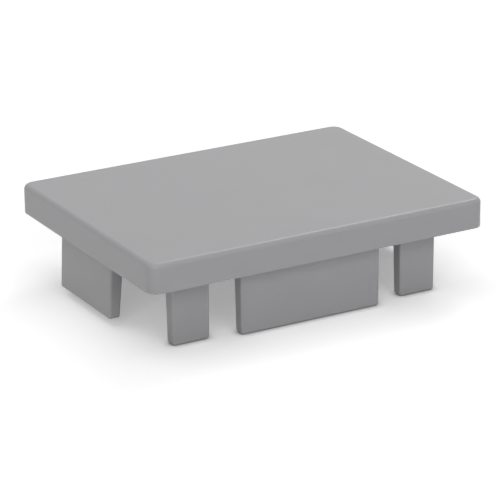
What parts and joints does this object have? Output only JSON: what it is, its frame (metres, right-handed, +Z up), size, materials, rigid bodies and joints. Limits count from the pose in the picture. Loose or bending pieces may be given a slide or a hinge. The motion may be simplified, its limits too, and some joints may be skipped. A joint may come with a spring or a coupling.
{
  "type": "trunking end cap",
  "caption": "Rectangular end cap for wiring trunking: a flat plate with rounded edges, and upright tabs below it that push in between the trunking's walls.",
  "frame": {"origin": "middle of the cap's outline, in the plane of the tips of the long-side tabs, on which it stands", "axes": "+X along the plate's long sides, +Y from its front long side to its rear long side, +Z up through the plate to its plain outer face"},
  "size_m": [0.04, 0.03, 0.0106],
  "materials": {
    "moulded_plastic": "plain mid grey, fine satin moulded surface"
  },
  "bodies": {
    "root": {"end_cap": "moulded_plastic"}
  },
  "joints": []
}
